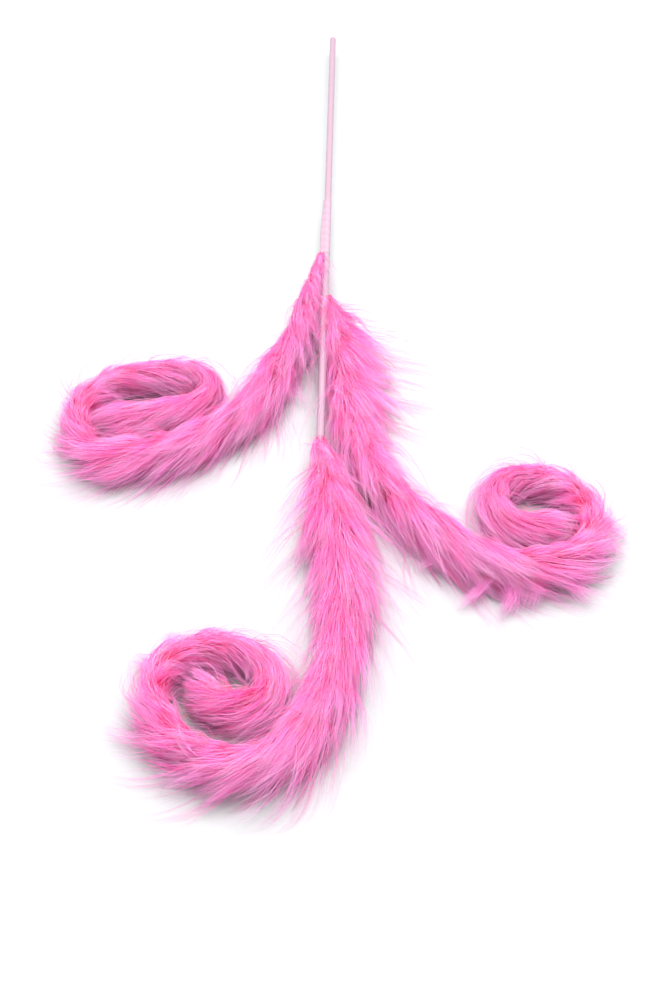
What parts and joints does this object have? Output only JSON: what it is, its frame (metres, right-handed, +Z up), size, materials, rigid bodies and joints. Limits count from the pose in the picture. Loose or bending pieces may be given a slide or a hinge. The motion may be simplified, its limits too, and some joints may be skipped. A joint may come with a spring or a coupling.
{
  "type": "faux fur curl spray",
  "caption": "Decorative floral pick: a coated wire stem with bendable branches wrapped in long-pile pink faux fur, each ending in a flat spiral curl.",
  "frame": {"origin": "centre of the stem's cut free end, on its axis", "axes": "+Y along the stem and out of its free end, so the fur branches lie towards -Y; +Z up, square to the flat plane in which the curls lie; +X towards the side of the right branch"},
  "size_m": [0.3407, 0.7715, 0.03],
  "materials": {
    "fur": "matte",
    "stem_coat": "satin",
    "core_wire": "satin",
    "branch_wire": "satin",
    "binding_tape": "matte",
    "glue": "satin"
  },
  "bodies": {
    "root": {"stem_core": "core_wire", "stem_coat": "stem_coat", "left_foot_wire": "branch_wire", "left_binding": "binding_tape", "right_foot_wire": "branch_wire", "right_binding": "binding_tape", "last_foot_wire": "branch_wire", "last_binding": "binding_tape", "right_root_fur": "fur", "last_root_fur": "fur"},
    "left_neck": {"left_neck_fur": "fur", "left_neck_wire": "branch_wire"},
    "left_arm": {"left_arm_fur": "fur", "left_arm_wire": "branch_wire"},
    "left_curl_outer": {"left_curl_outer_fur": "fur", "left_curl_outer_wire": "branch_wire"},
    "left_curl_mid": {"left_curl_mid_fur": "fur", "left_curl_mid_wire": "branch_wire"},
    "left_curl_inner": {"left_curl_inner_fur": "fur", "left_curl_inner_wire": "branch_wire", "left_tip_plug": "glue"},
    "right_neck": {"right_neck_fur": "fur", "right_neck_wire": "branch_wire"},
    "right_arm": {"right_arm_fur": "fur", "right_arm_wire": "branch_wire"},
    "right_curl_outer": {"right_curl_outer_fur": "fur", "right_curl_outer_wire": "branch_wire"},
    "right_curl_mid": {"right_curl_mid_fur": "fur", "right_curl_mid_wire": "branch_wire"},
    "right_curl_inner": {"right_curl_inner_fur": "fur", "right_curl_inner_wire": "branch_wire", "right_tip_plug": "glue"},
    "last_neck": {"last_neck_fur": "fur", "last_neck_wire": "branch_wire"},
    "last_arm": {"last_arm_fur": "fur", "last_arm_wire": "branch_wire"},
    "last_curl_outer": {"last_curl_outer_fur": "fur", "last_curl_outer_wire": "branch_wire"},
    "last_curl_mid": {"last_curl_mid_fur": "fur", "last_curl_mid_wire": "branch_wire"},
    "last_curl_inner": {"last_curl_inner_fur": "fur", "last_curl_inner_wire": "branch_wire", "last_tip_plug": "glue"}
  },
  "joints": [
    {"name": "left_swing", "type": "hinge", "parent": "root", "child": "left_neck", "pos_m": [-0.00345, -0.327, 0], "axis": [0, 0, -1], "range_deg": [0, 35]},
    {"name": "left_lift", "type": "hinge", "parent": "left_neck", "child": "left_arm", "pos_m": [-0.021, -0.42036, 0], "axis": [-0.9828, 0.1848, 0], "range_deg": [0, 45]},
    {"name": "left_curl", "type": "hinge", "parent": "left_arm", "child": "left_curl_outer", "pos_m": [-0.12046, -0.53663, 0], "axis": [0, 0, 1], "range_deg": [0, 30]},
    {"name": "left_curl_mid", "type": "hinge", "parent": "left_curl_outer", "child": "left_curl_mid", "pos_m": [-0.15126, -0.49251, 0], "axis": [0, 0, 1], "range_deg": [0, 30]},
    {"name": "left_curl_inner", "type": "hinge", "parent": "left_curl_mid", "child": "left_curl_inner", "pos_m": [-0.08789, -0.45809, 0], "axis": [0, 0, 1], "range_deg": [0, 30]},
    {"name": "right_swing", "type": "hinge", "parent": "root", "child": "right_neck", "pos_m": [0.0165, -0.455, 0], "axis": [0, 0, 1], "range_deg": [0, 30]},
    {"name": "right_lift", "type": "hinge", "parent": "right_neck", "child": "right_arm", "pos_m": [0.01978, -0.49486, 0], "axis": [-0.9966, -0.0819, 0], "range_deg": [0, 45]},
    {"name": "right_curl", "type": "hinge", "parent": "right_arm", "child": "right_curl_outer", "pos_m": [0.09731, -0.61752, 0], "axis": [0, 0, -1], "range_deg": [0, 30]},
    {"name": "right_curl_mid", "type": "hinge", "parent": "right_curl_outer", "child": "right_curl_mid", "pos_m": [0.15796, -0.59436, 0], "axis": [0, 0, -1], "range_deg": [0, 30]},
    {"name": "right_curl_inner", "type": "hinge", "parent": "right_curl_mid", "child": "right_curl_inner", "pos_m": [0.12579, -0.5532, 0], "axis": [0, 0, -1], "range_deg": [0, 30]},
    {"name": "last_swing", "type": "hinge", "parent": "root", "child": "last_neck", "pos_m": [0.0095, -0.588, 0], "axis": [0, 0, -1], "range_deg": [-6, 30]},
    {"name": "last_lift", "type": "hinge", "parent": "last_neck", "child": "last_arm", "pos_m": [0.01485, -0.62562, 0], "axis": [-0.99, -0.1409, 0], "range_deg": [0, 45]},
    {"name": "last_curl", "type": "hinge", "parent": "last_arm", "child": "last_curl_outer", "pos_m": [-0.00956, -0.74402, 0], "axis": [0, 0, 1], "range_deg": [0, 30]},
    {"name": "last_curl_mid", "type": "hinge", "parent": "last_curl_outer", "child": "last_curl_mid", "pos_m": [-0.07859, -0.72677, 0], "axis": [0, 0, 1], "range_deg": [0, 30]},
    {"name": "last_curl_inner", "type": "hinge", "parent": "last_curl_mid", "child": "last_curl_inner", "pos_m": [-0.0434, -0.68666, 0], "axis": [0, 0, 1], "range_deg": [0, 30]}
  ],
  "couplings": [
    {"joint": "left_curl_mid", "follows": "left_curl", "ratio": 1},
    {"joint": "left_curl_inner", "follows": "left_curl", "ratio": 1},
    {"joint": "right_curl_mid", "follows": "right_curl", "ratio": 1},
    {"joint": "right_curl_inner", "follows": "right_curl", "ratio": 1},
    {"joint": "last_curl_mid", "follows": "last_curl", "ratio": 1},
    {"joint": "last_curl_inner", "follows": "last_curl", "ratio": 1}
  ]
}
